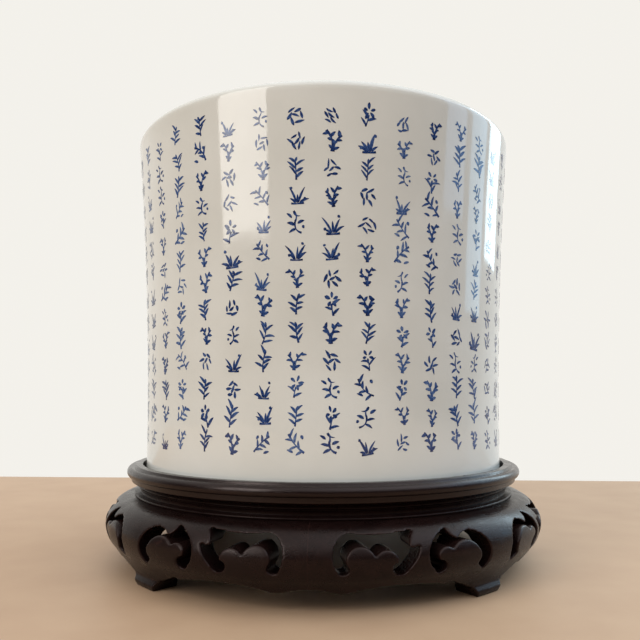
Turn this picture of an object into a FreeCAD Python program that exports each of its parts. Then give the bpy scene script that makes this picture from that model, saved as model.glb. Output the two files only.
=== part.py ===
import FreeCAD, Part
import math
import os
import Sketcher

# A porcelain brush pot standing in a carved and pierced hardwood stand.
# Millimetres, +Z up. The origin is the centre of the stand's footprint on the floor, and the
# stand's front panel faces -Y. Azimuths run from the front (-Y) towards the right (+X).

Vector = FreeCAD.Vector
Z_AXIS = Vector(0, 0, 1)

DIMENSIONS = [
    # The pot: a gently waisted cylinder with a rounded lip and a broad flat foot ring.
    ("pot_base_level", 40.0),
    ("pot_height", 158.0),
    ("pot_foot_radius", 85.2),
    ("pot_rim_radius", 92.5),
    ("pot_flare_radius", 1650.0),
    ("pot_wall", 6.4),
    ("pot_floor", 9.0),
    ("pot_foot_round", 1.6),
    ("pot_inner_round", 8.0),
    ("pot_recess_radius", 40.0),
    ("pot_recess_depth", 1.6),
    # The seat frame: ledge, lip, quirk line, round bead and the step under it.
    ("frame_bottom", 36.0),
    ("frame_inner_radius", 76.0),
    ("ledge_level", 40.0),
    ("lip_top", 44.3),
    ("lip_inner_radius", 86.7),
    ("lip_outer_radius", 89.9),
    ("quirk_radius", 90.4),
    ("quirk_level", 43.1),
    ("bead_top_radius", 92.1),
    ("bead_top_level", 43.4),
    ("bead_bottom_radius", 93.0),
    ("bead_bottom_level", 39.4),
    ("bead_round", 2.45),
    ("step_radius", 91.7),
    ("step_level", 37.2),
    ("neck_radius", 89.2),
    ("groove_radius", 80.0),
    ("groove_bottom", 36.9),
    ("groove_top", 38.8),
    # The loose board inside the seat frame, and the batten that keeps it flat.
    ("panel_radius", 75.6),
    ("tongue_radius", 79.6),
    ("tongue_top", 38.7),
    ("batten_half_length", 76.5),
    ("batten_width", 16.0),
    ("batten_bottom", 30.5),
    ("dovetail_depth", 1.5),
    ("dovetail_wide", 14.0),
    ("dovetail_narrow", 12.0),
    # The waist: a hollow moulding over a thin bead.
    ("waist_bottom", 31.0),
    ("waist_inner_radius", 78.0),
    ("waist_bead_radius", 89.5),
    ("waist_bead_top", 32.6),
    ("waist_bead_round", 0.9),
    ("waist_hollow_round", 2.2),
    # The apron: shoulder, belly, calf, ankle and toe of the S-shaped wall.
    ("shoulder_radius", 90.4),
    ("shoulder_level", 30.6),
    ("shoulder_round", 12.2),
    ("belly_radius", 102.5),
    ("belly_level", 20.0),
    ("belly_round", 14.0),
    ("calf_radius", 100.0),
    ("calf_level", 12.3),
    ("calf_round", 30.0),
    ("ankle_radius", 94.9),
    ("ankle_level", 4.4),
    ("toe_radius", 96.3),
    ("toe_level", 2.0),
    ("toe_bottom_radius", 95.3),
    ("apron_rib_bottom", 25.0),
    ("apron_rib_radius", 86.5),
    ("apron_inner_radius", 92.0),
    ("apron_inner_level", 19.5),
    ("apron_inner_round", 30.0),
    ("apron_inner_shoulder_round", 8.0),
    ("foot_inner_radius", 84.0),
    ("foot_inner_level", 2.0),
    # Loose joinery: dowels up the waist and splines across the butt joints.
    ("dowel_ring_radius", 83.5),
    ("dowel_radius", 1.75),
    ("dowel_clearance", 0.05),
    ("dowel_bottom", 25.8),
    ("dowel_top", 39.0),
    ("frame_spline_inner", 82.0),
    ("frame_spline_outer", 89.0),
    ("frame_spline_bottom", 37.4),
    ("frame_spline_top", 39.2),
    ("frame_spline_width", 12.0),
    ("apron_spline_inner", 93.5),
    ("apron_spline_outer", 96.0),
    ("apron_spline_bottom", 13.0),
    ("apron_spline_top", 25.0),
    ("apron_spline_width", 10.0),
    # How far a cut runs on past the wood that it goes through.
    ("overcut", 1.0),
]

QUARTERS = 4
QUARTER_TURN = 360.0 / QUARTERS
FRAME_JOINT_AZIMUTH = 45.0
WAIST_JOINT_AZIMUTH = 22.5
APRON_JOINT_AZIMUTH = 0.0
FOOT_AZIMUTH = 45.0
DOWELS = 8
FIRST_DOWEL_AZIMUTH = 33.75
DOWEL_AZIMUTHS = [FIRST_DOWEL_AZIMUTH + 360.0 / DOWELS * turn for turn in range(DOWELS)]

# One half of the pierced carving between a centre panel (azimuth 0) and a foot (azimuth 45).
# Points are (azimuth in degrees, height in mm). Each step is (end,) for a straight side, or
# (point on the arc, end) for a round one. An opening at the lower edge is closed below the floor.
BELOW_FLOOR = -3.0
PAST_JOINT = -2.0
CENTRE_OPENING_FACING = 14.0
CENTRE_OPENING_START = (5.0, 21.4)
CENTRE_OPENING_STEPS = [
    ((6.1, 26.0), (10.0, 27.6)),
    ((14.0, 27.3), (18.1, 27.8)),
    ((20.9, 28.3), (23.5, 29.5)),
    ((21.0, 26.6), (20.5, 23.2)),
    ((21.6, 23.1), (22.8, 23.9)),
    ((21.9, 19.6), (20.1, 15.6)),
    ((18.6, 13.9), (17.1, 15.4)),
    ((17.0, 17.3), (18.2, 18.4)),
    ((16.0, 22.8), (13.3, 20.4)),
    ((9.8, 24.1), (7.4, 19.2)),
    ((7.9, 17.6), (8.3, 16.2)),
    ((7.1, 14.7), (5.7, 16.6)),
    ((5.1, 19.0), CENTRE_OPENING_START),
]
FOOT_OPENING_FACING = 33.0
FOOT_OPENING_START = (30.4, 28.0)
FOOT_OPENING_STEPS = [
    ((27.5, 26.2), (25.2, 22.9)),
    ((24.8, 18.7), (26.3, 15.1)),
    ((27.8, 13.4), (29.1, 15.2)),
    ((28.6, 17.2), (27.3, 18.0)),
    ((27.0, 19.0), (26.9, 20.2)),
    ((28.6, 22.4), (30.5, 21.4)),
    ((34.2, 23.9), (37.5, 20.4)),
    ((38.2, 17.6), (37.4, 14.6)),
    ((38.6, 13.2), (39.6, 12.2)),
    ((41.0, 18.2), (39.5, 23.7)),
    ((36.4, 26.4), (32.2, 24.5)),
    ((30.8, 25.7), FOOT_OPENING_START),
]
# The apron's lower edge: a small raised arch at the front, a long shallow scallop and a cusp.
LOWER_EDGE_FACING = 15.0
LOWER_EDGE_START = (PAST_JOINT, 8.7)
LOWER_EDGE_STEPS = [
    ((0.0, 8.7),),
    ((3.2, 8.4), (5.6, 7.5)),
    ((8.0, 7.0), (10.6, 8.1)),
    ((18.5, 9.6), (28.5, 8.1)),
    ((30.8, 7.9), (32.2, 8.6)),
    ((32.2, BELOW_FLOOR),),
    ((PAST_JOINT, BELOW_FLOOR),),
    (LOWER_EDGE_START,),
]
# From the cusp the edge sweeps down the side of the foot to the floor.
FOOT_EDGE_FACING = 38.0
FOOT_EDGE_START = (31.0, 7.0)
FOOT_EDGE_STEPS = [
    ((32.2, 8.6),),
    ((35.2, 6.8), (38.2, 4.6)),
    ((39.9, 2.8), (40.6, 0.0)),
    ((40.6, BELOW_FLOOR),),
    ((31.0, BELOW_FLOOR),),
    (FOOT_EDGE_START,),
]


class Size:
    """A size with both its number and the sheet expression that drives it."""

    def __init__(self, value, text):
        self.value = float(value)
        self.text = text

    def __add__(self, other):
        return Size(self.value + number(other), "(%s + %s)" % (self.text, words(other)))

    def __sub__(self, other):
        return Size(self.value - number(other), "(%s - %s)" % (self.text, words(other)))

    def __mul__(self, other):
        return Size(self.value * number(other), "(%s * %s)" % (self.text, words(other)))

    def __truediv__(self, other):
        return Size(self.value / number(other), "(%s / %s)" % (self.text, words(other)))


def number(size):
    return size.value if isinstance(size, Size) else float(size)


def words(size):
    return size.text if isinstance(size, Size) else "%g" % size


def make_sheet(doc):
    """Put the driving dimensions in the spreadsheet and return them by name."""
    sheet = doc.addObject("Spreadsheet::Sheet", "Sizes")
    sizes = {}
    for row, (alias, value) in enumerate(DIMENSIONS, start=1):
        sheet.set("A%d" % row, alias.replace("_", " "))
        sheet.set("B%d" % row, "%g" % value)
        sheet.setAlias("B%d" % row, alias)
        sizes[alias] = Size(value, "Sizes.%s" % alias)
    doc.recompute()
    return sizes


def place_at(azimuth):
    """Turn an object built about +X so that it faces the given azimuth."""
    return FreeCAD.Placement(Vector(), FreeCAD.Rotation(Z_AXIS, azimuth - 90.0))


def origin_plane(body, role):
    for feature in body.Origin.OriginFeatures:
        if feature.Role == role:
            return feature
    raise ValueError(role)


def new_body(doc, label):
    body = doc.addObject("PartDesign::Body", "Body_" + label)
    body.Label = label
    return body


def new_sketch(body, name, role, turn=0.0):
    """A sketch on one of the body's own planes, turned about the body's Z axis."""
    sketch = body.newObject("Sketcher::SketchObject", name)
    sketch.AttachmentSupport = [(origin_plane(body, role), "")]
    sketch.MapMode = "FlatFace"
    sketch.AttachmentOffset = FreeCAD.Placement(Vector(), FreeCAD.Rotation(Vector(0, 1, 0), turn))
    return sketch


def round_side(start, end, radius, side):
    """Three points on the arc of a given radius, which bulges left (+1) or right (-1)."""
    chord = end - start
    sagitta = radius - math.sqrt(radius ** 2 - (chord.Length / 2) ** 2)
    left = Vector(-chord.y, chord.x, 0).normalize()
    return [start, (start + end) * 0.5 + left * (sagitta * side), end]


def add_side(sketch, points):
    """Add a line through two points or an arc through three. A sketch keeps its arcs
    anticlockwise, so the numbers of the first and last vertex are returned with the index."""
    if len(points) == 2:
        return sketch.addGeometry(Part.LineSegment(*points), False), 1, 2
    start, middle, end = points
    if (middle - start).cross(end - middle).z > 0:
        return sketch.addGeometry(Part.Arc(start, middle, end), False), 1, 2
    return sketch.addGeometry(Part.Arc(end, middle, start), False), 2, 1


def closed_outline(sketch, sides):
    """Add sides that follow each other round, and join each one to the next."""
    added = [add_side(sketch, points) for points in sides]
    for index, (side, first, last) in enumerate(added):
        before, before_first, before_last = added[index - 1]
        sketch.addConstraint(Sketcher.Constraint("Coincident", before, before_last, side, first))
    return added


def pin(sketch, geometry, end, kind, axis, size):
    """Hold one coordinate of a vertex: on the axis when it is zero, else at a driven distance."""
    if number(size) == 0.0:
        sketch.addConstraint(Sketcher.Constraint("PointOnObject", geometry, end, axis))
        return
    index = sketch.addConstraint(Sketcher.Constraint(kind, -1, 1, geometry, end, number(size)))
    sketch.setExpression("Constraints[%d]" % index, words(size))


def driven_profile(sketch, corners):
    """A closed outline of (x, y) corners. A corner may add (radius, side), which rounds the
    side that leads to the next corner."""
    points = [Vector(number(corner[0]), number(corner[1]), 0) for corner in corners]
    sides = []
    for index, corner in enumerate(corners):
        ends = [points[index], points[(index + 1) % len(points)]]
        sides.append(round_side(*ends, number(corner[2]), corner[3]) if len(corner) == 4 else ends)
    for corner, (side, first, last) in zip(corners, closed_outline(sketch, sides)):
        pin(sketch, side, first, "DistanceX", -2, corner[0])
        pin(sketch, side, first, "DistanceY", -1, corner[1])
        if len(corner) == 4:
            radius = Sketcher.Constraint("Radius", side, number(corner[2]))
            sketch.setExpression("Constraints[%d]" % sketch.addConstraint(radius), words(corner[2]))


def revolve(body, sketch, angle):
    turned = body.newObject("PartDesign::Revolution", "Turned")
    turned.Profile = sketch
    turned.ReferenceAxis = (sketch, ["V_Axis"])
    turned.Angle = angle
    turned.Midplane = True
    body.Tip = turned
    return turned


def cut_hole(body, name, centre, radius, bottom, top):
    """A round vertical hole. centre is (distance along local X, along local Y)."""
    hole = body.newObject("PartDesign::SubtractiveCylinder", name)
    hole.setExpression("Radius", words(radius))
    hole.setExpression("Height", words(top - bottom))
    hole.setExpression("Placement.Base.x", words(centre[0]))
    hole.setExpression("Placement.Base.y", words(centre[1]))
    hole.setExpression("Placement.Base.z", words(bottom))
    body.Tip = hole


def cut_slot(body, name, inner, outer, bottom, top, width, azimuth):
    """A flat-sided slot centred on an azimuth measured from the body's local X axis."""
    slot = body.newObject("PartDesign::SubtractiveBox", name)
    slot.setExpression("Length", words(outer - inner))
    slot.setExpression("Width", words(width))
    slot.setExpression("Height", words(top - bottom))
    angle = math.radians(azimuth)
    along = "%.6f * %s" % (math.cos(angle), words(inner))
    across = "%.6f * %s" % (math.sin(angle), words(inner))
    slot.setExpression("Placement.Base.x", "%s + %.6f * %s / 2" % (along, math.sin(angle), words(width)))
    slot.setExpression("Placement.Base.y", "%s - %.6f * %s / 2" % (across, math.cos(angle), words(width)))
    slot.setExpression("Placement.Base.z", words(bottom))
    slot.Placement = FreeCAD.Placement(slot.Placement.Base, FreeCAD.Rotation(Z_AXIS, azimuth))
    body.Tip = slot


def cut_dowel_holes(body, s, middle_azimuth, bottom, top):
    """Dowel holes that fall inside a quarter segment centred on middle_azimuth."""
    for count, azimuth in enumerate(DOWEL_AZIMUTHS):
        local = (azimuth - middle_azimuth + 180.0) % 360.0 - 180.0
        if abs(local) < QUARTER_TURN / 2:
            angle = math.radians(local)
            ring = s["dowel_ring_radius"]
            centre = (ring * math.cos(angle), ring * math.sin(angle))
            radius = s["dowel_radius"] + s["dowel_clearance"]
            cut_hole(body, "DowelHole%d" % count, centre, radius, bottom, top)


def make_pot(doc, s):
    """The pot is one fired piece: flat foot ring, glazed recess, flaring wall and rounded lip."""
    body = new_body(doc, "brush_pot")
    sketch = new_sketch(body, "PotProfile", "XZ_Plane")
    base = s["pot_base_level"]
    top = base + s["pot_height"]
    half_wall = s["pot_wall"] / 2
    foot_inner = s["pot_foot_radius"] - s["pot_wall"]
    rim_inner = s["pot_rim_radius"] - s["pot_wall"]
    floor = base + s["pot_floor"]
    axis = 0.0
    driven_profile(sketch, [
        (axis, base + s["pot_recess_depth"]),
        (s["pot_recess_radius"], base + s["pot_recess_depth"]),
        (s["pot_recess_radius"] + s["pot_recess_depth"], base),
        (s["pot_foot_radius"] - s["pot_foot_round"], base, s["pot_foot_round"], -1),
        (s["pot_foot_radius"], base + s["pot_foot_round"], s["pot_flare_radius"], 1),
        (s["pot_rim_radius"], top - half_wall, half_wall, -1),
        (s["pot_rim_radius"] - half_wall, top, half_wall, -1),
        (rim_inner, top - half_wall, s["pot_flare_radius"], -1),
        (foot_inner, floor + s["pot_inner_round"], s["pot_inner_round"], 1),
        (foot_inner - s["pot_inner_round"], floor),
        (axis, floor),
    ])
    revolve(body, sketch, 360.0)
    return body


def make_seat_frame_segment(doc, s, label, middle_azimuth):
    """A quarter of the moulded ring that the pot stands in, with a groove for the seat board."""
    body = new_body(doc, label)
    sketch = new_sketch(body, "FrameProfile", "XZ_Plane")
    driven_profile(sketch, [
        (s["frame_inner_radius"], s["frame_bottom"]),
        (s["neck_radius"], s["frame_bottom"]),
        (s["step_radius"], s["step_level"]),
        (s["step_radius"], s["bead_bottom_level"]),
        (s["bead_bottom_radius"], s["bead_bottom_level"], s["bead_round"], -1),
        (s["bead_top_radius"], s["bead_top_level"]),
        (s["quirk_radius"], s["quirk_level"]),
        (s["lip_outer_radius"], s["lip_top"]),
        (s["lip_inner_radius"], s["lip_top"]),
        (s["lip_inner_radius"], s["ledge_level"]),
        (s["frame_inner_radius"], s["ledge_level"]),
        (s["frame_inner_radius"], s["groove_top"]),
        (s["groove_radius"], s["groove_top"]),
        (s["groove_radius"], s["groove_bottom"]),
        (s["frame_inner_radius"], s["groove_bottom"]),
    ])
    revolve(body, sketch, QUARTER_TURN)
    cut_dowel_holes(body, s, middle_azimuth, s["frame_bottom"] - s["overcut"], s["dowel_top"])
    for count, end in enumerate((-QUARTER_TURN / 2, QUARTER_TURN / 2)):
        cut_slot(body, "SplineSlot%d" % count, s["frame_spline_inner"], s["frame_spline_outer"],
                 s["frame_spline_bottom"], s["frame_spline_top"], s["frame_spline_width"], end)
    body.Placement = place_at(middle_azimuth)
    return body


def make_seat_panel(doc, s):
    """The round seat board, with a tongue all round and a dovetail trench for the batten."""
    body = new_body(doc, "seat_panel")
    sketch = new_sketch(body, "PanelProfile", "XZ_Plane")
    axis = 0.0
    driven_profile(sketch, [
        (axis, s["frame_bottom"]),
        (s["panel_radius"], s["frame_bottom"]),
        (s["panel_radius"], s["groove_bottom"]),
        (s["tongue_radius"], s["groove_bottom"]),
        (s["tongue_radius"], s["tongue_top"]),
        (s["panel_radius"], s["tongue_top"]),
        (s["panel_radius"], s["ledge_level"]),
        (axis, s["ledge_level"]),
    ])
    revolve(body, sketch, 360.0)
    trench = new_sketch(body, "DovetailTrench", "YZ_Plane")
    narrow = s["dovetail_narrow"] / 2
    lowest = s["frame_bottom"] - s["overcut"]
    driven_profile(trench, dovetail(s) + [(narrow * -1, lowest), (narrow, lowest)])
    cut = body.newObject("PartDesign::Pocket", "Trench")
    cut.Profile = trench
    cut.Type = "Length"
    cut.Midplane = True
    cut.setExpression("Length", words((s["tongue_radius"] + s["overcut"]) * 2))
    body.Tip = cut
    return body


def dovetail(s):
    """The dovetail from right to left: narrow at the board's underside and wide inside it."""
    shelf = s["frame_bottom"]
    top = shelf + s["dovetail_depth"]
    narrow = s["dovetail_narrow"] / 2
    wide = s["dovetail_wide"] / 2
    return [(narrow, shelf), (wide, top), (wide * -1, top), (narrow * -1, shelf)]


def make_cross_batten(doc, s):
    """The batten slides into the seat board and runs under the seat frame from side to side."""
    body = new_body(doc, "cross_batten")
    profile = new_sketch(body, "BattenProfile", "YZ_Plane")
    half = s["batten_width"] / 2
    low = s["batten_bottom"]
    shelf = s["frame_bottom"]
    bar_corners = [(half * -1, shelf), (half * -1, low), (half, low), (half, shelf)]
    driven_profile(profile, dovetail(s) + bar_corners)
    bar = body.newObject("PartDesign::Pad", "Bar")
    bar.Profile = profile
    bar.Midplane = True
    bar.setExpression("Length", words(s["batten_half_length"] * 2))
    body.Tip = bar
    trim_batten_ends(body, s)
    return body


def trim_batten_ends(body, s):
    """Cut the dovetail away at both ends, where the batten passes under the seat frame."""
    near = s["panel_radius"] - s["overcut"]
    far = s["batten_half_length"] + s["overcut"]
    for name, start in (("TrimLeft", far * -1), ("TrimRight", near)):
        trim = body.newObject("PartDesign::SubtractiveBox", name)
        trim.setExpression("Length", words(far - near))
        trim.setExpression("Width", words(s["dovetail_wide"] + s["overcut"] * 2))
        trim.setExpression("Height", words(s["dovetail_depth"] + s["overcut"]))
        trim.setExpression("Placement.Base.x", words(start))
        trim.setExpression("Placement.Base.y", words(s["dovetail_wide"] / -2 - s["overcut"]))
        trim.setExpression("Placement.Base.z", words(s["frame_bottom"]))
        body.Tip = trim


def make_waist_segment(doc, s, label, middle_azimuth):
    """A quarter of the hollow waist moulding with the thin bead at its foot."""
    body = new_body(doc, label)
    sketch = new_sketch(body, "WaistProfile", "XZ_Plane")
    driven_profile(sketch, [
        (s["waist_inner_radius"], s["waist_bottom"]),
        (s["waist_bead_radius"], s["waist_bottom"], s["waist_bead_round"], -1),
        (s["neck_radius"], s["waist_bead_top"], s["waist_hollow_round"], 1),
        (s["neck_radius"], s["frame_bottom"]),
        (s["waist_inner_radius"], s["frame_bottom"]),
    ])
    revolve(body, sketch, QUARTER_TURN)
    low = s["waist_bottom"] - s["overcut"]
    high = s["frame_bottom"] + s["overcut"]
    cut_dowel_holes(body, s, middle_azimuth, low, high)
    body.Placement = place_at(middle_azimuth)
    return body


def carved_point(s, point, facing):
    """A point of the carving, as seen square on by someone facing that azimuth."""
    azimuth, height = point
    return Vector(number(s["belly_radius"]) * math.sin(math.radians(azimuth - facing)), height, 0)


def carve(body, s, name, facing, mirror, start, steps):
    """Cut an outline of the carving straight through the apron wall. mirror is -1 for the half
    that runs from a panel to the foot's left, and +1 for its mirror image."""
    turn = mirror * (FOOT_AZIMUTH - facing)
    sketch = new_sketch(body, name + "Outline", "YZ_Plane", turn)
    here = carved_point(s, start, facing)
    sides = []
    for step in steps:
        points = [carved_point(s, point, facing) for point in step]
        sides.append([Vector(-mirror * corner.x, corner.y, 0) for corner in [here] + points])
        here = points[-1]
    closed_outline(sketch, sides)
    cut = body.newObject("PartDesign::Pocket", name)
    cut.Profile = sketch
    cut.Type = "Length"
    cut.Reversed = True
    cut.setExpression("Length", words(s["belly_radius"] + s["overcut"]))
    body.Tip = cut


def make_apron_segment(doc, s, label, middle_azimuth):
    """A quarter of the pierced apron, with one foot at its middle."""
    body = new_body(doc, label)
    sketch = new_sketch(body, "ApronProfile", "XZ_Plane")
    floor = 0.0
    driven_profile(sketch, [
        (s["foot_inner_radius"], floor),
        (s["toe_bottom_radius"], floor),
        (s["toe_radius"], s["toe_level"]),
        (s["ankle_radius"], s["ankle_level"], s["calf_round"], 1),
        (s["calf_radius"], s["calf_level"], s["belly_round"], -1),
        (s["belly_radius"], s["belly_level"], s["shoulder_round"], -1),
        (s["shoulder_radius"], s["shoulder_level"]),
        (s["waist_bead_radius"], s["waist_bottom"]),
        (s["waist_inner_radius"], s["waist_bottom"]),
        (s["waist_inner_radius"], s["apron_rib_bottom"]),
        (s["apron_rib_radius"], s["apron_rib_bottom"], s["apron_inner_shoulder_round"], 1),
        (s["apron_inner_radius"], s["apron_inner_level"], s["apron_inner_round"], 1),
        (s["foot_inner_radius"], s["foot_inner_level"]),
    ])
    revolve(body, sketch, QUARTER_TURN)
    for mirror, side in ((-1, "Left"), (1, "Right")):
        carve(body, s, "CentreOpening" + side, CENTRE_OPENING_FACING, mirror,
              CENTRE_OPENING_START, CENTRE_OPENING_STEPS)
        carve(body, s, "FootOpening" + side, FOOT_OPENING_FACING, mirror,
              FOOT_OPENING_START, FOOT_OPENING_STEPS)
        carve(body, s, "LowerEdge" + side, LOWER_EDGE_FACING, mirror,
              LOWER_EDGE_START, LOWER_EDGE_STEPS)
        carve(body, s, "FootEdge" + side, FOOT_EDGE_FACING, mirror,
              FOOT_EDGE_START, FOOT_EDGE_STEPS)
    cut_dowel_holes(body, s, middle_azimuth, s["dowel_bottom"], s["waist_bottom"] + s["overcut"])
    for count, end in enumerate((-QUARTER_TURN / 2, QUARTER_TURN / 2)):
        cut_slot(body, "SplineSlot%d" % count, s["apron_spline_inner"], s["apron_spline_outer"],
                 s["apron_spline_bottom"], s["apron_spline_top"], s["apron_spline_width"], end)
    body.Placement = place_at(middle_azimuth)
    return body


def make_splines(doc, s, label, prefix, first_azimuth):
    """Four thin tongues of wood, one glued across each butt joint."""
    tongues = []
    inner = s[prefix + "_inner"]
    width = s[prefix + "_width"]
    for quarter in range(QUARTERS):
        azimuth = first_azimuth + QUARTER_TURN * quarter
        tongue = doc.addObject("Part::Box", "%s_%d" % (prefix, quarter))
        tongue.setExpression("Length", words(s[prefix + "_outer"] - inner))
        tongue.setExpression("Width", words(width))
        tongue.setExpression("Height", words(s[prefix + "_top"] - s[prefix + "_bottom"]))
        turned = place_at(azimuth)
        corner = turned.multVec(Vector(number(inner), -number(width) / 2, number(s[prefix + "_bottom"])))
        tongue.Placement = FreeCAD.Placement(corner, turned.Rotation)
        tongues.append(tongue)
    group = doc.addObject("Part::Compound", "Group_" + label)
    group.Label = label
    group.Links = tongues
    return group


def make_dowels(doc, s):
    """Eight dowels that tie the seat frame, the waist and the apron together."""
    dowels = []
    for count, azimuth in enumerate(DOWEL_AZIMUTHS):
        dowel = doc.addObject("Part::Cylinder", "dowel_%d" % count)
        dowel.setExpression("Radius", words(s["dowel_radius"]))
        dowel.setExpression("Height", words(s["dowel_top"] - s["dowel_bottom"]))
        turned = place_at(azimuth)
        foot = turned.multVec(Vector(number(s["dowel_ring_radius"]), 0, number(s["dowel_bottom"])))
        dowel.Placement = FreeCAD.Placement(foot, turned.Rotation)
        dowels.append(dowel)
    group = doc.addObject("Part::Compound", "Group_waist_dowels")
    group.Label = "waist_dowels"
    group.Links = dowels
    return group


def make_all(doc):
    s = make_sheet(doc)
    pieces = [make_pot(doc, s)]
    for turn, side in enumerate(("front", "right", "back", "left")):
        azimuth = QUARTER_TURN * turn
        pieces.append(make_seat_frame_segment(doc, s, "seat_frame_" + side, azimuth))
        waist_middle = azimuth + WAIST_JOINT_AZIMUTH - QUARTER_TURN / 2
        pieces.append(make_waist_segment(doc, s, "waist_" + side, waist_middle))
    for turn, corner in enumerate(("front_right", "back_right", "back_left", "front_left")):
        azimuth = FOOT_AZIMUTH + QUARTER_TURN * turn
        pieces.append(make_apron_segment(doc, s, "apron_foot_" + corner, azimuth))
    pieces.append(make_seat_panel(doc, s))
    pieces.append(make_cross_batten(doc, s))
    pieces.append(make_splines(doc, s, "seat_frame_splines", "frame_spline", FRAME_JOINT_AZIMUTH))
    pieces.append(make_splines(doc, s, "apron_splines", "apron_spline", APRON_JOINT_AZIMUTH))
    pieces.append(make_dowels(doc, s))
    return pieces


def check_features(doc):
    for feature in doc.Objects:
        if "Invalid" in feature.State or "Error" in feature.State:
            raise RuntimeError("%s is in state %s" % (feature.Label, feature.State))


def write_pieces(pieces):
    for piece in pieces:
        if piece.Shape.isNull() or not piece.Shape.isValid():
            raise RuntimeError("%s has no valid shape" % piece.Label)
    os.makedirs("parts", exist_ok=True)
    for piece in pieces:
        piece.Shape.exportStep("parts/%s.step" % piece.Label)
        print("%-24s %d solids %10.0f mm3" % (piece.Label, len(piece.Shape.Solids), piece.Shape.Volume))


document = FreeCAD.newDocument("brush_pot_and_stand")
all_pieces = make_all(document)
document.recompute()
check_features(document)
write_pieces(all_pieces)
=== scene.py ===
import math
import random

import bmesh
import bpy
import numpy as np
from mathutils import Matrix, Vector


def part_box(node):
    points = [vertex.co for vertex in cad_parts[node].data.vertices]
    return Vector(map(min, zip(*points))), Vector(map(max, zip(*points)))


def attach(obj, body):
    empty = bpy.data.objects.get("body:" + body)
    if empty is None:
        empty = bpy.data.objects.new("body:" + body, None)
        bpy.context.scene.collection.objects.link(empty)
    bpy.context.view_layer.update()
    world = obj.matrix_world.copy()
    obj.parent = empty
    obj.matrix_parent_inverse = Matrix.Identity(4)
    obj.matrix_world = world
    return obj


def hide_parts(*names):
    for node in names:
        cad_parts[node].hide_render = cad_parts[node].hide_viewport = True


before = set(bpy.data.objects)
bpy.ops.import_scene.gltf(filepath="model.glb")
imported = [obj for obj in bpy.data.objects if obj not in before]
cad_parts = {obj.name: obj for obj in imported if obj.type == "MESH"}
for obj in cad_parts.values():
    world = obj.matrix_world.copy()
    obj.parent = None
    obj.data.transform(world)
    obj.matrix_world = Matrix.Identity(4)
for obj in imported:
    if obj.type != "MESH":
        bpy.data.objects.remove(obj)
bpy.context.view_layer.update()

MM = 0.001
QUARTER = math.radians(90)
WAIST_JOINT_TURN = 22.5
SEGMENT_STEPS = 100
SIDES = {"front": 0, "right": 90, "back": 180, "left": 270}
CORNERS = {"front_right": 45, "back_right": 135, "back_left": 225, "front_left": 315}

# Pot, in millimetres above the floor and from the axis.
POT_BASE = 40.0
POT_TOP = 198.0
FOOT_RADIUS = 85.2
RIM_RADIUS = 92.5
WALL = 6.4
FLARE_RADIUS = 1650.0
FOOT_ROUND = 1.6
INNER_ROUND = 8.0
POT_FLOOR = 49.0
RECESS_RADIUS = 40.0
RECESS_DEPTH = 1.6
POT_STEPS = 400
BARE_FOOT_HEIGHT = 0.45
UNEVENNESS_FADE = 30

# Sketches painted on the pot, in rows and columns. Lengths are in millimetres.
MARK_SEED = 4107
FIRST_COLUMN_AZIMUTH = 5.5
MARK_ROWS = 13
MARK_COLUMNS = 40
FIRST_ROW_HEIGHT = 183.0
ROW_PITCH = 10.45
MARK_HEIGHT = 8.7
MARK_WIDTH = 8.4
PAINT_LIFT = 0.03
PAINT_CROWN = 0.006
PAINT_LAYER = 0.004
PAINT_DEPTH = 0.06


# ---------------------------------------------------------------- profiles and lathe work

def arc(start, end, radius, side, count):
    """Points along an arc after its start. side +1 bulges to the left of start-to-end, -1 to the right."""
    a, b = Vector(start), Vector(end)
    chord = b - a
    left = Vector((-chord.y, chord.x)).normalized()
    middle = (a + b) / 2 - left * side * math.sqrt(max(radius ** 2 - (chord.length / 2) ** 2, 0))
    first = math.atan2(a.y - middle.y, a.x - middle.x)
    last = math.atan2(b.y - middle.y, b.x - middle.x)
    turn = math.remainder(last - first, math.tau)
    return [(middle.x + radius * math.cos(first + turn * i / count),
             middle.y + radius * math.sin(first + turn * i / count)) for i in range(1, count + 1)]


def profile(corners, closed=True):
    """(radius, height) points of an outline whose corners may add (arc radius, side, steps)."""
    points = []
    last = len(corners) if closed else len(corners) - 1
    for index in range(last):
        here, following = corners[index], corners[(index + 1) % len(corners)]
        if index == 0:
            points.append(here[:2])
        points += arc(here[:2], following[:2], *here[2:]) if len(here) > 2 else [following[:2]]
    return points[:-1] if closed else points


def soften(points, radius, steps=3):
    """The same closed outline with its sharp corners rounded."""
    soft = []
    for index, here in enumerate(points):
        p = Vector(here)
        before, after = Vector(points[index - 1]) - p, Vector(points[(index + 1) % len(points)]) - p
        if math.degrees(before.angle(-after)) < 25:
            soft.append(tuple(p))
            continue
        cut = min(radius, before.length * 0.4, after.length * 0.4)
        a, b = p + before.normalized() * cut, p + after.normalized() * cut
        for i in range(steps + 1):
            t = i / steps
            soft.append(tuple(a * (1 - t) ** 2 + p * 2 * t * (1 - t) + b * t ** 2))
    return soft


def new_piece(name, vertices, faces, sharp=30):
    mesh = bpy.data.meshes.new(name)
    mesh.from_pydata([tuple(v) for v in vertices], [], faces)
    mesh.validate()
    work = bmesh.new()
    work.from_mesh(mesh)
    bmesh.ops.recalc_face_normals(work, faces=work.faces)
    work.to_mesh(mesh)
    work.free()
    mesh.shade_smooth()
    mesh.set_sharp_from_angle(angle=math.radians(sharp))
    piece = bpy.data.objects.new(name, mesh)
    bpy.context.scene.collection.objects.link(piece)
    return piece


def around(azimuth, radius, height):
    """A point in metres from millimetres. Azimuth 0 is the front, -Y, and it grows towards +X."""
    return (radius * MM * math.sin(azimuth), -radius * MM * math.cos(azimuth), height * MM)


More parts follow.
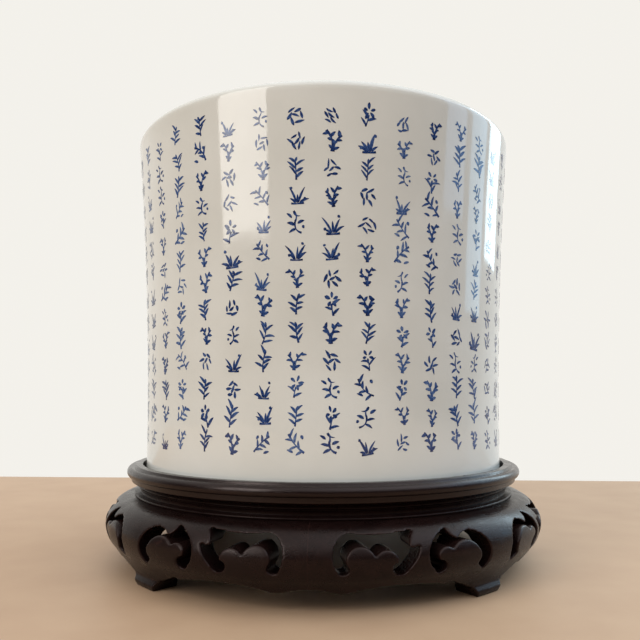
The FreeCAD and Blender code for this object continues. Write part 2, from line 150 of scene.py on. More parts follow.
def lathe_segment(name, outline, middle):
    """A closed outline turned through a quarter circle, with flat ends."""
    start = math.radians(middle) - QUARTER / 2
    size = len(outline)
    vertices = [around(start + QUARTER * i / SEGMENT_STEPS, r, z)
                for i in range(SEGMENT_STEPS + 1) for r, z in outline]
    faces = [(i * size + j, i * size + (j + 1) % size, (i + 1) * size + (j + 1) % size, (i + 1) * size + j)
             for i in range(SEGMENT_STEPS) for j in range(size)]
    faces.append(tuple(range(size)))
    faces.append(tuple(range(SEGMENT_STEPS * size, (SEGMENT_STEPS + 1) * size)))
    return new_piece(name, vertices, faces)


# ---------------------------------------------------------------- pot

def unevenness(azimuth, height):
    """How far hand throwing leaves the surface inside the true form, in millimetres."""
    wide = math.sin(2 * azimuth + 0.7) * 0.035 + math.sin(3 * azimuth - height / 31 + 2.1) * 0.030
    local = math.sin(5 * azimuth + height / 17) * 0.020 + math.sin(height / 8.5 + 1.3 + azimuth) * 0.015
    rings = math.sin(height / 2.4) * 0.004
    return -0.11 + wide + local + rings


def outer_radius(height):
    """Outside radius of the pot's flaring wall."""
    low, high = POT_BASE + FOOT_ROUND, POT_TOP - WALL / 2
    chord = math.hypot(RIM_RADIUS - FOOT_RADIUS, high - low)
    tilt = math.atan2(RIM_RADIUS - FOOT_RADIUS, high - low)
    along = (height - low) / math.cos(tilt)
    sag = (chord * along - along ** 2) / (2 * FLARE_RADIUS)
    return FOOT_RADIUS + math.tan(tilt) * (height - low) - sag / math.cos(tilt)


def make_pot():
    """The whole pot as one closed skin, glazed but for the flat of its foot."""
    half = WALL / 2
    foot_inner, rim_inner = FOOT_RADIUS - WALL, RIM_RADIUS - WALL
    outline = profile([
        (0.0, POT_BASE + RECESS_DEPTH),
        (RECESS_RADIUS / 2, POT_BASE + RECESS_DEPTH),
        (RECESS_RADIUS, POT_BASE + RECESS_DEPTH),
        (RECESS_RADIUS + RECESS_DEPTH, POT_BASE),
        (FOOT_RADIUS - FOOT_ROUND * 2, POT_BASE),
        (FOOT_RADIUS - FOOT_ROUND, POT_BASE, FOOT_ROUND, -1, 6),
        (FOOT_RADIUS, POT_BASE + FOOT_ROUND, FLARE_RADIUS, 1, 100),
        (RIM_RADIUS, POT_TOP - half, half, -1, 12),
        (RIM_RADIUS - half, POT_TOP, half, -1, 12),
        (rim_inner, POT_TOP - half, FLARE_RADIUS, -1, 90),
        (foot_inner, POT_FLOOR + INNER_ROUND, INNER_ROUND, 1, 12),
        (foot_inner - INNER_ROUND, POT_FLOOR),
        (foot_inner / 2, POT_FLOOR),
        (0.0, POT_FLOOR),
    ], closed=False)
    ring = outline[1:-1]
    vertices = []
    for i in range(POT_STEPS):
        azimuth = math.tau * i / POT_STEPS
        for r, z in ring:
            loose = unevenness(azimuth, z) * min(1.0, max(0.0, (r - RECESS_RADIUS) / UNEVENNESS_FADE))
            vertices.append(around(azimuth, r + loose, z))
    size = len(ring)
    faces = []
    for i in range(POT_STEPS):
        here, following = i * size, (i + 1) % POT_STEPS * size
        faces += [(here + j, here + j + 1, following + j + 1, following + j) for j in range(size - 1)]
    low, high = len(vertices), len(vertices) + 1
    vertices += [(0, 0, outline[0][1] * MM), (0, 0, outline[-1][1] * MM)]
    for i in range(POT_STEPS):
        here, following = i * size, (i + 1) % POT_STEPS * size
        faces.append((low, here, following))
        faces.append((high, following + size - 1, here + size - 1))
    pot = new_piece("pot_porcelain", vertices, faces, sharp=50)
    pot.data.materials.append(glaze_material())
    pot.data.materials.append(bare_clay_material())
    for face in pot.data.polygons:
        reach = math.hypot(face.center.x, face.center.y) / MM
        if face.center.z < (POT_BASE + BARE_FOOT_HEIGHT) * MM and reach > RECESS_RADIUS:
            face.material_index = 1
    return pot


# ---------------------------------------------------------------- painted marks

def bent(start, end, bow, count):
    """Points of a stroke from start to end that bows to its left."""
    a, b = Vector(start), Vector(end)
    left = Vector((a.y - b.y, b.x - a.x))
    return [a.lerp(b, i / count) + left * bow * 4 * (i / count) * (1 - i / count) for i in range(count + 1)]


def brush_width(style, t):
    """Width of a stroke along its length, as a share of the widest brush mark."""
    if style == "leaf":
        return 0.20 + 1.05 * math.sin(math.pi * t ** 0.8) ** 0.8
    if style == "flick":
        return 0.12 + 1.0 * (1 - t) ** 0.7 * min(1, 0.55 + 5 * t)
    if style == "dab":
        return 0.35 + 1.1 * math.sin(math.pi * t ** 1.3) ** 0.6
    return 0.56 + 0.44 * abs(math.cos(math.pi * t)) ** 1.5


def turned(arrow, angle):
    """The arrow turned anticlockwise."""
    return Vector((arrow.x * math.cos(angle) - arrow.y * math.sin(angle),
                   arrow.x * math.sin(angle) + arrow.y * math.cos(angle)))


def stem_with_leaves(rng, start, end, bow, count, reach, side=1):
    """A bent stem whose leaves leave it on either side in turn and point towards its tip."""
    line = bent(start, end, bow, 20)
    strokes = [("press", start, end, bow)]
    for i in range(count):
        at = round(2 + 15 * i / (count - 1))
        along = (line[at + 1] - line[at - 1]).normalized()
        root = line[at]
        angle = side * math.radians(rng.uniform(42, 72))
        tip = root + turned(along, angle) * reach * rng.uniform(0.75, 1.15)
        strokes.append(("leaf", root, tip, -side * rng.uniform(0.03, 0.10)))
        side = -side
    return strokes


def sprig(rng):
    """An upright stem with leaves either side."""
    lean = rng.uniform(-0.12, 0.12)
    strokes = stem_with_leaves(rng, (-lean, -0.5), (lean, 0.44), rng.uniform(-0.10, 0.10), 6, 0.54)
    return strokes + [("leaf", (lean, 0.38), (lean + rng.uniform(-0.15, 0.15), 0.56), 0.02)]


def bough(rng):
    """A slanting branch with leaves, a bud above it and a fallen leaf below."""
    bow = rng.uniform(-0.16, 0.16)
    side = rng.choice((-1, 1))
    strokes = stem_with_leaves(rng, (-0.46, -0.38), (0.38, 0.40), bow, 6, 0.44, side)
    strokes.append(("dab", (-0.36, 0.22), (-0.24, 0.38), 0.02))
    strokes.append(("leaf", (0.10, -0.40), (0.42, -0.30), 0.06))
    return strokes


def tuft(rng):
    """Blades of grass that grow from one root, uneven in length, the outer ones drooping."""
    strokes = []
    for i in range(5):
        lean = math.radians(-62 + 31 * i + rng.uniform(-10, 10))
        tall = rng.uniform(0.62, 0.98) if i in (1, 3) else rng.uniform(0.42, 0.66)
        tip = (math.sin(lean) * tall, -0.42 + math.cos(lean) * tall)
        strokes.append(("leaf", (0.05 * (i - 2), -0.42), tip, 0.10 * (i - 2) / 2))
    strokes.append(("press", (-0.32, -0.44), (0.34, -0.40), -0.05))
    strokes.append(("dab", (-0.42, 0.26), (-0.30, 0.36), 0))
    strokes.append(("dab", (0.30, -0.22), (0.44, -0.16), 0))
    return strokes


def blossom(rng):
    """Uneven petals round an open centre, on a bent stem with leaves."""
    foot = rng.uniform(-0.2, 0.2)
    bow = rng.uniform(-0.10, 0.10)
    strokes = stem_with_leaves(rng, (foot, -0.52), (0.0, 0.02), bow, 3, 0.52)
    middle = Vector((0.0, 0.20))
    start = rng.uniform(0, 72)
    for i in range(5):
        ray = turned(Vector((1, 0)), math.radians(start + 72 * i + rng.uniform(-8, 8)))
        strokes.append(("dab", middle + ray * 0.09, middle + ray * rng.uniform(0.32, 0.42), 0.04))
    return strokes


def tendril(rng):
    """A double bend that curls back on itself, with leaves on its outer side."""
    bow = rng.uniform(0.16, 0.24)
    return [
        ("press", (-0.30, -0.48), (0.04, 0.02), -bow),
        ("press", (0.04, 0.02), (0.10, 0.50), bow),
        ("flick", (0.10, 0.50), (-0.26, 0.28), bow),
        ("leaf", (0.06, -0.14), (0.46, -0.02), 0.10),
        ("leaf", (0.20, 0.20), (0.48, 0.40), 0.08),
        ("leaf", (-0.10, -0.06), (-0.46, 0.06), -0.08),
        ("leaf", (-0.02, -0.30), (0.36, -0.46), 0.08),
        ("dab", (-0.44, -0.28), (-0.36, -0.14), 0),
    ]


def fern(rng):
    """Two arching fronds from one root."""
    spread_out = rng.uniform(0.30, 0.42)
    return (stem_with_leaves(rng, (-0.06, -0.48), (-spread_out, 0.30), -0.14, 4, 0.28)
            + stem_with_leaves(rng, (0.02, -0.48), (spread_out, 0.46), 0.14, 5, 0.30, -1))


def fallen_leaves(rng):
    """Six loose leaves round a seventh, which lie every way."""
    strokes = []
    for i in range(7):
        reach = rng.uniform(0.26, 0.36) if i < 6 else 0.0
        place = turned(Vector((reach, 0)), math.radians(60 * i))
        half = turned(Vector((rng.uniform(0.16, 0.24), 0)), rng.uniform(0, math.tau))
        strokes.append(("leaf", place - half, place + half, rng.uniform(-0.08, 0.08)))
    return strokes


def paint_stroke(vertices, faces, tones, place, stroke, brush, tone, layer):
    """Adds one brush stroke as a thin closed ribbon that follows the glaze."""
    style, start, end, bow = stroke
    count = 4 if style == "dab" else 6
    line = bent(start, end, bow, count)
    first = len(vertices)
    for i, point in enumerate(line):
        t = i / count
        following, before = line[min(i + 1, count)], line[max(i - 1, 0)]
        along = following - before
        across = Vector((-along.y, along.x)).normalized() * brush * brush_width(style, t) / 2
        lift = PAINT_LIFT + layer * PAINT_LAYER
        centre = Vector((point.x * MARK_WIDTH, point.y * MARK_HEIGHT))
        vertices.append(place(centre + across, lift))
        vertices.append(place(centre, lift + PAINT_CROWN))
        vertices.append(place(centre - across, lift))
        vertices.append(place(centre, -PAINT_DEPTH))
        pool = tone * (0.80 + 0.30 * abs(2 * t - 1) ** 2)
        tones += [pool * 0.74, pool, pool * 0.78, pool]
    for i in range(count):
        a = first + i * 4
        for j in range(4):
            faces.append((a + j, a + (j + 1) % 4, a + 4 + (j + 1) % 4, a + 4 + j))
    faces.append((first + 3, first + 2, first + 1, first))
    faces.append(tuple(first + count * 4 + j for j in range(4)))


def make_marks():
    """Rows and columns of small leaf and flower sketches in a few brush strokes each."""
    rng = random.Random(MARK_SEED)
    makers = (sprig, bough, tuft, blossom, tendril, fern, fallen_leaves)
    vertices, faces, tones = [], [], []
    for column in range(MARK_COLUMNS):
        azimuth = math.radians(FIRST_COLUMN_AZIMUTH + column * 360 / MARK_COLUMNS + rng.uniform(-0.3, 0.3))
        wander = rng.uniform(-0.012, 0.012)
        start = rng.uniform(-1.2, 1.2)
        ink = rng.uniform(0.78, 1.0)
        for row in range(MARK_ROWS):
            height = FIRST_ROW_HEIGHT - ROW_PITCH * row + start * (1 - row / MARK_ROWS)
            height += rng.uniform(-0.7, 0.7)
            centre = azimuth + wander * row / MARK_ROWS + math.radians(rng.uniform(-0.35, 0.35))
            grow = rng.uniform(0.82, 1.0)
            squeeze = rng.uniform(0.82, 1.06)
            flip = rng.choice((-1, 1))
            lean = math.radians(rng.uniform(-7, 7))
            brush = rng.uniform(0.84, 1.08)
            ink = min(1.0, max(0.62, ink + rng.uniform(-0.12, 0.12)))

            def place(point, lift):
                across, up = point.x * flip * grow * squeeze, point.y * grow
                u = across * math.cos(lean) - up * math.sin(lean)
                v = height + across * math.sin(lean) + up * math.cos(lean)
                turn = centre + u / outer_radius(v)
                return around(turn, outer_radius(v) + unevenness(turn, v) + lift, v)

            for layer, stroke in enumerate(rng.choice(makers)(rng)):
                paint_stroke(vertices, faces, tones, place, stroke, brush * rng.uniform(0.85, 1.15),
                             ink * rng.uniform(0.88, 1.05), layer)
    marks = new_piece("pot_painted_marks", vertices, faces, sharp=40)
    pigment = marks.data.color_attributes.new("pigment", "FLOAT_COLOR", "POINT")
    pigment.data.foreach_set("color", np.repeat(np.array(tones, np.float32), 4))
    marks.data.materials.append(cobalt_material())
    return marks


# ---------------------------------------------------------------- stand

# Seat frame, from its underside out and up: chamfer, flat, bead, quirk, lip, ledge and groove.
SEAT_FRAME = [
    (76.0, 36.0), (89.2, 36.0), (91.7, 37.2), (91.7, 39.4), (93.0, 39.4, 2.45, -1, 10),
    (92.1, 43.4), (90.4, 43.1), (89.9, 44.3), (86.7, 44.3), (86.7, 40.0), (76.0, 40.0),
    (76.0, 38.8), (80.0, 38.8), (80.0, 36.9), (76.0, 36.9),
]
# Waist, from its underside up: thin bead, hollow, fillet and a second hollow.
WAIST = [
    (78.0, 31.0), (90.0, 31.0, 0.55, -1, 6), (89.6, 31.9), (87.4, 32.3, 2.4, 1, 8), (87.8, 34.0),
    (88.3, 34.3), (87.6, 34.7, 1.6, 1, 6), (88.4, 36.0), (78.0, 36.0),
]
FRAME_SOFTENING = 0.28
WAIST_SOFTENING = 0.2
# A box round the spline slot across each joint of the apron, a little larger than the slot.
SLOT_HALF_WIDTH = 5.2
SLOT_RADII = (93.3, 96.4)
SLOT_HEIGHTS = (12.9, 25.1)
# The apron is remeshed in voxels of this size in millimetres.
VOXEL = 0.42
# Its edges are then worn: plain smoothing first, then steps that smooth without shrinking.
WEAR = [0.5] * 4 + [0.55, -0.56] * 14


def joined_rings(nodes):
    """Points and triangles of neighbouring CAD pieces, left open where they meet one another."""
    points, triangles = [], []
    for node in nodes:
        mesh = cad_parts[node].data
        mesh.calc_loop_triangles()
        co = np.empty(len(mesh.vertices) * 3, np.float32)
        mesh.vertices.foreach_get("co", co)
        co = co.reshape(-1, 3)
        tri = np.empty(len(mesh.loop_triangles) * 3, np.int32)
        mesh.loop_triangles.foreach_get("vertices", tri)
        tri = tri.reshape(-1, 3)
        x, y, z = (co[tri][:, :, axis] for axis in range(3))
        on_joint = (np.abs(x) < 1e-5).all(1) | (np.abs(y) < 1e-5).all(1)
        reach = np.hypot(x, y)
        beside = np.minimum(np.abs(x), np.abs(y)) < SLOT_HALF_WIDTH * MM
        in_slot = (beside & (reach > SLOT_RADII[0] * MM) & (reach < SLOT_RADII[1] * MM)
                   & (z > SLOT_HEIGHTS[0] * MM) & (z < SLOT_HEIGHTS[1] * MM)).all(1)
        triangles.append(tri[~(on_joint | in_slot)] + sum(len(p) for p in points))
        points.append(co)
    return np.concatenate(points), np.concatenate(triangles)


def carved_ring(nodes):
    """The pierced apron as one ring, with the cut edges worn round as carving and polishing leave them."""
    points, triangles = joined_rings(nodes)
    mesh = bpy.data.meshes.new("apron_ring")
    mesh.from_pydata(points.tolist(), [], triangles.tolist())
    work = bmesh.new()
    work.from_mesh(mesh)
    bmesh.ops.remove_doubles(work, verts=work.verts, dist=2e-6)
    work.to_mesh(mesh)
    work.free()
    ring = bpy.data.objects.new("apron_ring", mesh)
    bpy.context.scene.collection.objects.link(ring)
    remesh = ring.modifiers.new("carve", "REMESH")
    remesh.mode = "VOXEL"
    remesh.voxel_size = VOXEL * MM
    evaluated = ring.evaluated_get(bpy.context.evaluated_depsgraph_get())
    fine = bpy.data.meshes.new_from_object(evaluated)
    bpy.data.objects.remove(ring)
    co = np.empty(len(fine.vertices) * 3)
    fine.vertices.foreach_get("co", co)
    co = co.reshape(-1, 3)
    edges = np.empty(len(fine.edges) * 2, np.int64)
    fine.edges.foreach_get("vertices", edges)
    a, b = edges.reshape(-1, 2).T
    degree = np.bincount(np.concatenate((a, b)), minlength=len(co))[:, None]
    for weight in WEAR:
        total = np.empty_like(co)
        for axis in range(3):
            total[:, axis] = np.bincount(a, co[b, axis], len(co)) + np.bincount(b, co[a, axis], len(co))
        co += (total / degree - co) * weight
    low = Vector(map(min, *(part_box(node)[0] for node in nodes)))
    high = Vector(map(max, *(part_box(node)[1] for node in nodes)))
    co = np.clip(co, np.array(low), np.array(high))
    fine.vertices.foreach_set("co", co.ravel())
    fine.update()
    return fine


def quarter_of(ring, azimuth, name):
    """One quarter of the carved ring, closed where it meets its neighbours."""
    work = bmesh.new()
    work.from_mesh(ring)
    middle = math.radians(azimuth)
    for side in (-1, 1):
        edge = middle + side * QUARTER / 2
        outward = Vector((math.cos(edge), math.sin(edge), 0)) * side
        geometry = work.verts[:] + work.edges[:] + work.faces[:]
        cut = bmesh.ops.bisect_plane(work, geom=geometry, plane_co=(0, 0, 0), plane_no=outward,
                                     clear_outer=True)
        rim = [item for item in cut["geom_cut"] if isinstance(item, bmesh.types.BMEdge)]
        bmesh.ops.holes_fill(work, edges=rim)
    mesh = bpy.data.meshes.new(name)
    work.to_mesh(mesh)
    work.free()
    mesh.shade_smooth()
    mesh.set_sharp_from_angle(angle=math.radians(45))
    piece = bpy.data.objects.new(name, mesh)
    bpy.context.scene.collection.objects.link(piece)
    return piece


# ---------------------------------------------------------------- materials

def material(name):
    """A new node material, with the parts that every material here starts from."""
    made = bpy.data.materials.new(name)
    made.use_nodes = True
    nodes = made.node_tree.nodes
    return made, nodes, made.node_tree.links, nodes["Principled BSDF"]


def noise(nodes, links, vector, scale, detail, rough=0.5):
    node = nodes.new("ShaderNodeTexNoise")
    node.inputs["Scale"].default_value = scale
    node.inputs["Detail"].default_value = detail
    node.inputs["Roughness"].default_value = rough
    links.new(vector, node.inputs["Vector"])
    return node.outputs["Fac"]


def ramp(nodes, links, factor, stops):
    """Colours of (position, colour) stops, blended between them."""
    node = nodes.new("ShaderNodeValToRGB")
    band = node.color_ramp
    while len(band.elements) < len(stops):
        band.elements.new(0.5)
    for element, (position, colour) in zip(band.elements, stops):
        element.position = position
        element.color = (*colour, 1)
    links.new(factor, node.inputs["Fac"])
    return node.outputs["Color"]


def spread(nodes, links, value, low, high, to_low, to_high):
    """A value stretched from one range to another, and held at its ends."""
    node = nodes.new("ShaderNodeMapRange")
    for socket, number in (("From Min", low), ("From Max", high), ("To Min", to_low), ("To Max", to_high)):
        node.inputs[socket].default_value = number
    links.new(value, node.inputs["Value"])
    return node.outputs["Result"]


def mix(nodes, links, factor, first, second):
    """A colour between two, each of which is a colour or a socket."""
    node = nodes.new("ShaderNodeMix")
    node.data_type = "RGBA"
    for socket, value in (("Factor", factor), ("A", first), ("B", second)):
        target = next(i for i in node.inputs if i.name == socket and i.enabled)
        if isinstance(value, bpy.types.NodeSocket):
            links.new(value, target)
        else:
            target.default_value = value
    return next(o for o in node.outputs if o.enabled)


def bump(nodes, links, height, distance, strength, shader, after=None):
    """Fine relief on the shader's surface, over any relief that comes before it."""
    node = nodes.new("ShaderNodeBump")
    node.inputs["Distance"].default_value = distance
    node.inputs["Strength"].default_value = strength
    links.new(height, node.inputs["Height"])
    if after is not None:
        links.new(after, node.inputs["Normal"])
    links.new(node.outputs["Normal"], shader.inputs["Normal"])
    return node.outputs["Normal"]


def object_place(nodes):
    return nodes.new("ShaderNodeTexCoord").outputs["Object"]


def glaze_material():
    """Clear glossy glaze over greyish white porcelain, with faint clouding and a few iron specks."""
    made, nodes, links, shader = material("porcelain_glaze")
    place = object_place(nodes)
    cloud = ramp(nodes, links, noise(nodes, links, place, 22, 4), [
        (0.30, (0.600, 0.600, 0.562)), (0.55, (0.650, 0.652, 0.618)), (0.75, (0.675, 0.682, 0.655))])
    cells = nodes.new("ShaderNodeTexVoronoi")
    cells.inputs["Scale"].default_value = 62
    links.new(place, cells.inputs["Vector"])
    parts = nodes.new("ShaderNodeSeparateColor")
    links.new(cells.outputs["Color"], parts.inputs["Color"])
    near = spread(nodes, links, cells.outputs["Distance"], 0.012, 0.026, 1, 0)
    rare = spread(nodes, links, parts.outputs["Red"], 0.86, 0.90, 0, 1)
    both = nodes.new("ShaderNodeMath")
    both.operation = "MULTIPLY"
    links.new(near, both.inputs[0])
    links.new(rare, both.inputs[1])
    speckled = mix(nodes, links, both.outputs["Value"], cloud, (0.20, 0.13, 0.07, 1))
    links.new(speckled, shader.inputs["Base Color"])
    links.new(spread(nodes, links, noise(nodes, links, place, 90, 3), 0.3, 0.7, 0.05, 0.10),
              shader.inputs["Roughness"])
    shader.inputs["IOR"].default_value = 1.52
    bump(nodes, links, noise(nodes, links, place, 140, 2), 0.00005, 0.5, shader)
    return made


def bare_clay_material():
    """The unglazed foot: dry, finely sanded buff clay."""
    made, nodes, links, shader = material("bare_foot_clay")
    place = object_place(nodes)
    links.new(ramp(nodes, links, noise(nodes, links, place, 500, 5), [
        (0.3, (0.42, 0.32, 0.22)), (0.7, (0.60, 0.50, 0.38))]), shader.inputs["Base Color"])
    shader.inputs["Roughness"].default_value = 0.8
    bump(nodes, links, noise(nodes, links, place, 1800, 3), 0.0002, 0.5, shader)
    return made


def cobalt_material():
    """Cobalt blue under the same glaze: dark where the brush pooled, thin and paler along the edges."""
    made, nodes, links, shader = material("cobalt_under_glaze")
    place = object_place(nodes)
    pigment = nodes.new("ShaderNodeVertexColor")
    pigment.layer_name = "pigment"
    tone = nodes.new("ShaderNodeSeparateColor")
    links.new(pigment.outputs["Color"], tone.inputs["Color"])
    blotch = nodes.new("ShaderNodeMath")
    blotch.operation = "MULTIPLY"
    links.new(tone.outputs["Red"], blotch.inputs[0])
    pooling = spread(nodes, links, noise(nodes, links, place, 900, 4), 0.25, 0.75, 0.62, 1.18)
    links.new(pooling, blotch.inputs[1])
    links.new(ramp(nodes, links, blotch.outputs["Value"], [
        (0.25, (0.18, 0.25, 0.40)), (0.48, (0.040, 0.085, 0.23)), (0.72, (0.011, 0.030, 0.120)),
        (0.95, (0.005, 0.012, 0.052))]), shader.inputs["Base Color"])
    links.new(spread(nodes, links, noise(nodes, links, place, 90, 3), 0.3, 0.7, 0.05, 0.10),
              shader.inputs["Roughness"])
    shader.inputs["IOR"].default_value = 1.52
    return made


def wood_material(name, grain_azimuth, dark, light, roughness, gloss, edge_highlight=0):
    """Hardwood whose grain runs square to the given azimuth, with a painted highlight along its convex
    edges when asked for.
    """
    made, nodes, links, shader = material(name)
    aligned = nodes.new("ShaderNodeMapping")
    aligned.inputs["Rotation"].default_value = (0, 0, -math.radians(grain_azimuth))
    links.new(object_place(nodes), aligned.inputs["Vector"])
    streaks = nodes.new("ShaderNodeMapping")
    streaks.inputs["Scale"].default_value = (14, 260, 260)
    links.new(aligned.outputs["Vector"], streaks.inputs["Vector"])
    grain = noise(nodes, links, streaks.outputs["Vector"], 1.0, 6, 0.62)
    pores = nodes.new("ShaderNodeMapping")
    pores.inputs["Scale"].default_value = (130, 2600, 2600)
    links.new(aligned.outputs["Vector"], pores.inputs["Vector"])
    pore = spread(nodes, links, noise(nodes, links, pores.outputs["Vector"], 1.0, 2), 0.34, 0.46, 0, 1)
    middle = tuple((a + b) / 2 for a, b in zip(dark, light))
    figure = ramp(nodes, links, grain, [(0.32, dark), (0.52, middle), (0.72, light)])
    pored = mix(nodes, links, pore, tuple(0.45 * c for c in dark) + (1,), figure)
    cloud = noise(nodes, links, aligned.outputs["Vector"], 26, 3)
    tinted = mix(nodes, links, spread(nodes, links, cloud, 0.3, 0.7, 0.0, 0.55), pored,
                 (dark[0] * 1.3, dark[1] * 0.95, dark[2] * 0.85, 1))
    # Painted highlight: convex edges, found by pointiness, are painted paler.
    if edge_highlight:
        pointed = nodes.new("ShaderNodeNewGeometry").outputs["Pointiness"]
        edge = spread(nodes, links, pointed, 0.515, 0.56, 0, edge_highlight)
        tinted = mix(nodes, links, edge, tinted, (light[0] * 1.9, light[1] * 1.7, light[2] * 1.6, 1))
    links.new(tinted, shader.inputs["Base Color"])
    polish = noise(nodes, links, aligned.outputs["Vector"], 140, 5, 0.6)
    links.new(spread(nodes, links, polish, 0.3, 0.7, roughness * 0.8, roughness * 1.25),
              shader.inputs["Roughness"])
    shader.inputs["Specular IOR Level"].default_value = gloss
    shader.inputs["Specular Tint"].default_value = (1.0, 0.86, 0.84, 1)
    ridges = bump(nodes, links, grain, 0.00018, 0.30, shader)
    bump(nodes, links, pore, 0.00010, 0.25, shader, ridges)
    return made


def plain_material(name, low, high, scale, roughness):
    """A surface that clouds softly between two colours."""
    made, nodes, links, shader = material(name)
    place = object_place(nodes)
    links.new(ramp(nodes, links, noise(nodes, links, place, scale, 6), [(0.3, low), (0.7, high)]),
              shader.inputs["Base Color"])
    shader.inputs["Roughness"].default_value = roughness
    bump(nodes, links, noise(nodes, links, place, 900, 4), 0.0002, 0.15, shader)
    return made


# The stand's dark polished wood, between its darkest and its palest grain.
DARK_WOOD = (0.0050, 0.0024, 0.0023)
LIGHT_WOOD = (0.0140, 0.0064, 0.0055)


def build_stand():
    """The outer pieces of the stand, and wood for the CAD pieces that stay."""
    outline = soften(profile(SEAT_FRAME), FRAME_SOFTENING)
    hollow = soften(profile(WAIST), WAIST_SOFTENING)
    for side, azimuth in SIDES.items():
        ring = lathe_segment("stand_seat_frame_" + side, outline, azimuth)
        wood = wood_material("frame_wood_" + side, azimuth, DARK_WOOD, LIGHT_WOOD,
                             roughness=0.22, gloss=0.28)
        ring.data.materials.append(wood)
        middle = azimuth - WAIST_JOINT_TURN
        waist = lathe_segment("stand_waist_" + side, hollow, middle)
        wood = wood_material("waist_wood_" + side, middle, DARK_WOOD, LIGHT_WOOD,
                             roughness=0.30, gloss=0.10)
        waist.data.materials.append(wood)
        for piece, node in ((ring, "seat_frame_"), (waist, "waist_")):
            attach(piece, "stand")
            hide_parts(node + side)
    carved = carved_ring(["apron_foot_" + corner for corner in CORNERS])
    for corner, azimuth in CORNERS.items():
        apron = quarter_of(carved, azimuth, "stand_apron_foot_" + corner)
        # The apron's wood carries a painted highlight along its convex edges.
        wood = wood_material("apron_wood_" + corner, azimuth, DARK_WOOD, LIGHT_WOOD,
                             roughness=0.28, gloss=0.19, edge_highlight=0.45)
        apron.data.materials.clear()
        apron.data.materials.append(wood)
        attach(apron, "stand")
        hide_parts("apron_foot_" + corner)
    bpy.data.meshes.remove(carved)
    seat = wood_material("seat_wood", 0, (0.018, 0.009, 0.007), (0.050, 0.024, 0.016),
                         roughness=0.5, gloss=0.05)
    across = wood_material("batten_wood", 0, (0.022, 0.011, 0.008), (0.060, 0.028, 0.018),
                           roughness=0.55, gloss=0.0)
    joinery = wood_material("joinery_wood_plain", 0, (0.16, 0.09, 0.045), (0.34, 0.21, 0.11),
                            roughness=0.6, gloss=0.0)
    for node, finish in (("seat_panel", seat), ("cross_batten", across), ("seat_frame_splines", joinery),
                         ("apron_splines", joinery), ("waist_dowels", joinery)):
        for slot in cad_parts[node].material_slots:
            slot.material = finish


# ---------------------------------------------------------------- stage, light and camera

# The camera's place is in millimetres and degrees, the table's back edge in metres.
CAMERA_DISTANCE = 337.0
CAMERA_HEIGHT = 77.5
CAMERA_AZIMUTH = 3.0
CAMERA_PITCH = 6.15
CAMERA_YAW = 0.25
LENS = 37.4
TABLE_BACK = 0.268
WALL_COLOUR = (0.90, 0.88, 0.83, 1)
DARK_ROOM = (0.07, 0.065, 0.062, 1)
LEFT_CEILING = (1.06, 1.04, 1.00, 1)
RIGHT_CEILING = (2.7, 2.85, 3.0, 1)


def table_top():
    """A pale tan board that the object stands on."""
    left, right, front, thick = -0.95, 0.95, -0.75, 0.03
    corners = [(x, y, z) for z in (-thick, 0.0) for x, y in
               ((left, front), (right, front), (right, TABLE_BACK), (left, TABLE_BACK))]
    faces = [(0, 3, 2, 1), (4, 5, 6, 7), (0, 1, 5, 4), (1, 2, 6, 5), (2, 3, 7, 6), (3, 0, 4, 7)]
    top = new_piece("table_top", corners, faces)
    pale = plain_material("pale_table", (0.415, 0.272, 0.172), (0.455, 0.306, 0.196), 30, 0.55)
    top.data.materials.append(pale)


def panel_light(name, azimuth, distance, low, high, width, radiance, colour):
    """An upright soft panel that faces the pot. Radiance is what a mirror would show."""
    light = bpy.data.lights.new(name, "AREA")
    light.shape = "RECTANGLE"
    light.size = width
    light.size_y = high - low
    light.energy = radiance * math.pi * width * (high - low)
    light.color = colour
    lamp = bpy.data.objects.new(name, light)
    turn = math.radians(azimuth)
    lamp.location = (distance * math.sin(turn), -distance * math.cos(turn), (low + high) / 2)
    lamp.rotation_euler = (math.pi / 2, 0, turn)
    bpy.context.scene.collection.objects.link(lamp)


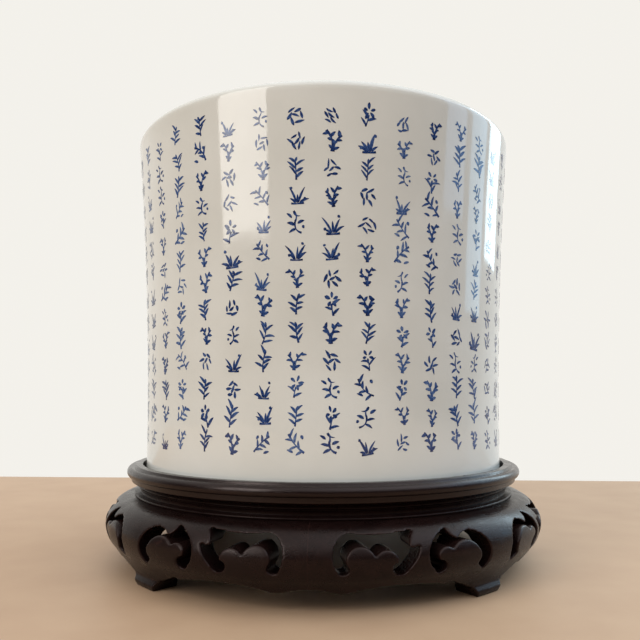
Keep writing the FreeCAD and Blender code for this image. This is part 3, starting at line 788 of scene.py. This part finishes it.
def light_the_scene():
    """Soft windows left and right, a pale wall behind, and in front a dim room under a bright
    ceiling. The room lights the object and shows in its gloss, but the camera sees the wall's
    colour all round."""
    panel_light("window_left", -42, 1.4, 0.30, 1.43, 0.72, 5.5, (1.0, 0.975, 0.93))
    panel_light("window_right_front", 84, 1.3, 0.36, 1.3, 0.36, 1.7, (0.36, 0.64, 1.0))
    panel_light("window_right_side", 105, 1.3, 0.20, 1.3, 0.36, 2.0, (0.36, 0.70, 1.0))
    panel_light("window_right_back", 126, 1.3, 0.32, 1.3, 0.40, 5.0, (0.62, 0.86, 1.0))
    world = bpy.data.worlds.new("room")
    world.use_nodes = True
    nodes, links = world.node_tree.nodes, world.node_tree.links
    parts = nodes.new("ShaderNodeSeparateXYZ")
    links.new(nodes.new("ShaderNodeTexCoord").outputs["Generated"], parts.inputs["Vector"])
    raised = spread(nodes, links, parts.outputs["Z"], 0.25, 0.75, 0, 1)
    behind = spread(nodes, links, parts.outputs["Y"], -0.10, 0.60, 0, 1)
    sideways = spread(nodes, links, parts.outputs["X"], -0.4, 0.9, 0, 1)
    upper = mix(nodes, links, sideways, LEFT_CEILING, RIGHT_CEILING)
    near = mix(nodes, links, raised, DARK_ROOM, upper)
    room = mix(nodes, links, behind, near, WALL_COLOUR)
    seen = nodes.new("ShaderNodeLightPath").outputs["Is Camera Ray"]
    backdrop = mix(nodes, links, seen, room, WALL_COLOUR)
    links.new(backdrop, nodes["Background"].inputs["Color"])
    bpy.context.scene.world = world


def add_camera():
    """Stands slightly to the right of the object's front, low down, and looks a little upwards."""
    eye = bpy.data.cameras.new("photo_view")
    eye.lens = LENS
    eye.sensor_width = 36
    eye.clip_start = 0.01
    camera = bpy.data.objects.new("photo_view", eye)
    camera.location = around(math.radians(CAMERA_AZIMUTH), CAMERA_DISTANCE, CAMERA_HEIGHT)
    camera.rotation_euler = (math.radians(90 + CAMERA_PITCH), 0, math.radians(CAMERA_AZIMUTH + CAMERA_YAW))
    bpy.context.scene.collection.objects.link(camera)
    bpy.context.scene.camera = camera


bpy.context.scene.view_settings.view_transform = "Standard"
add_camera()
light_the_scene()
table_top()
build_stand()
pot = make_pot()
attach(pot, "pot")
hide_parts("brush_pot")
marks = make_marks()
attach(marks, "pot")
